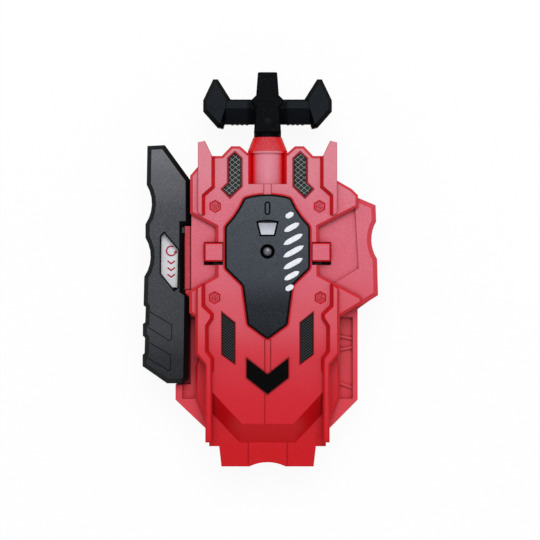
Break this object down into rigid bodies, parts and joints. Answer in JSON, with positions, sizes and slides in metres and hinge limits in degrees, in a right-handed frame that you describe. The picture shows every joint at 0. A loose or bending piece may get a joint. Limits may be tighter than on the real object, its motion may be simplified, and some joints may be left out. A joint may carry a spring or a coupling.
{
  "type": "spinning top launcher",
  "caption": "Hand-held string launcher for spinning tops: angular red case with a side selector panel, a centre plate, a T pull handle on a neck and a launch head under it",
  "frame": {"origin": "centre of the launch hub's end face, on the surface that the launcher lies on", "axes": "+Y towards the pull handle along the launcher's length, +Z out of the front face along the launch axis, +X to the wing's side"},
  "size_m": [0.0949, 0.1589, 0.0345],
  "materials": {
    "case_red": "satin with fine sparkle",
    "back_red": "satin",
    "black_plastic": "fine grain",
    "plate_black": "fine grain",
    "pad_black": "moulded lattice",
    "lens_clear": "clear with a print behind it",
    "card": "printed card",
    "gear_plastic": "acetal",
    "reel_plastic": "plain",
    "steel": "zinc plated",
    "brass": "sintered bush",
    "cord": "braided"
  },
  "bodies": {
    "case": {"front_cover": "case_red", "mid_frame": "case_red", "back_cover": "back_red", "neck_barrel": "case_red", "string_eyelet": "steel", "center_plate": "plate_black", "window_lens": "lens_clear", "upper_pad_left": "pad_black", "upper_pad_right": "pad_black", "lower_pad_left": "pad_black", "lower_pad_right": "pad_black", "chevron_inlay": "black_plastic", "plate_clip_left": "case_red", "plate_clip_right": "case_red", "case_screws": "steel", "lower_bush": "brass", "upper_bush": "brass", "spring_arbor": "steel", "mainspring": "steel", "planet_carrier": "reel_plastic", "planet_pins": "steel", "pull_string": "cord", "direction_card": "card"},
    "reel": {"string_reel": "reel_plastic", "string_winding": "cord"},
    "planet_1": {"planet_gear_1": "gear_plastic"},
    "planet_2": {"planet_gear_2": "gear_plastic"},
    "planet_3": {"planet_gear_3": "gear_plastic"},
    "launch_spindle": {"spindle": "steel", "sun_gear": "gear_plastic", "launch_head": "black_plastic", "launch_prongs": "steel"},
    "selector": {"selector_panel": "black_plastic", "selector_back": "black_plastic", "selector_tongue": "black_plastic", "panel_screws": "steel", "second_card": "card"},
    "handle": {"pull_handle": "black_plastic", "handle_stem": "black_plastic", "handle_cap": "black_plastic", "stem_pin": "steel"}
  },
  "joints": [
    {"name": "pull", "type": "slide", "parent": "case", "child": "handle", "axis": [0, 1, 0], "range_m": [0, 0.55], "stiffness_N_per_m": 8, "springref_m": -0.25},
    {"name": "reel_turn", "type": "hinge", "parent": "case", "child": "reel", "pos_m": [0, 0, 0.018], "axis": [0, 0, 1], "range_deg": [-1440, 0]},
    {"name": "planet_1_turn", "type": "hinge", "parent": "case", "child": "planet_1", "pos_m": [0.012, 0, 0.0209], "axis": [0, 0, 1], "range_deg": [-4320, 0]},
    {"name": "planet_2_turn", "type": "hinge", "parent": "case", "child": "planet_2", "pos_m": [-0.006, 0.01039, 0.0209], "axis": [0, 0, 1], "range_deg": [-4320, 0]},
    {"name": "planet_3_turn", "type": "hinge", "parent": "case", "child": "planet_3", "pos_m": [-0.006, -0.01039, 0.0209], "axis": [0, 0, 1], "range_deg": [-4320, 0]},
    {"name": "launch_turn", "type": "hinge", "parent": "case", "child": "launch_spindle", "pos_m": [0, 0, 0.01], "axis": [0, 0, 1], "range_deg": [0, 4320]},
    {"name": "select", "type": "slide", "parent": "case", "child": "selector", "axis": [-1, 0, 0], "range_m": [0, 0.006]}
  ],
  "couplings": [
    {"joint": "reel_turn", "follows": "pull", "rad_per_m": -45.537},
    {"joint": "planet_1_turn", "follows": "pull", "rad_per_m": -136.61},
    {"joint": "planet_2_turn", "follows": "pull", "rad_per_m": -136.61},
    {"joint": "planet_3_turn", "follows": "pull", "rad_per_m": -136.61},
    {"joint": "launch_turn", "follows": "pull", "rad_per_m": 136.61}
  ]
}
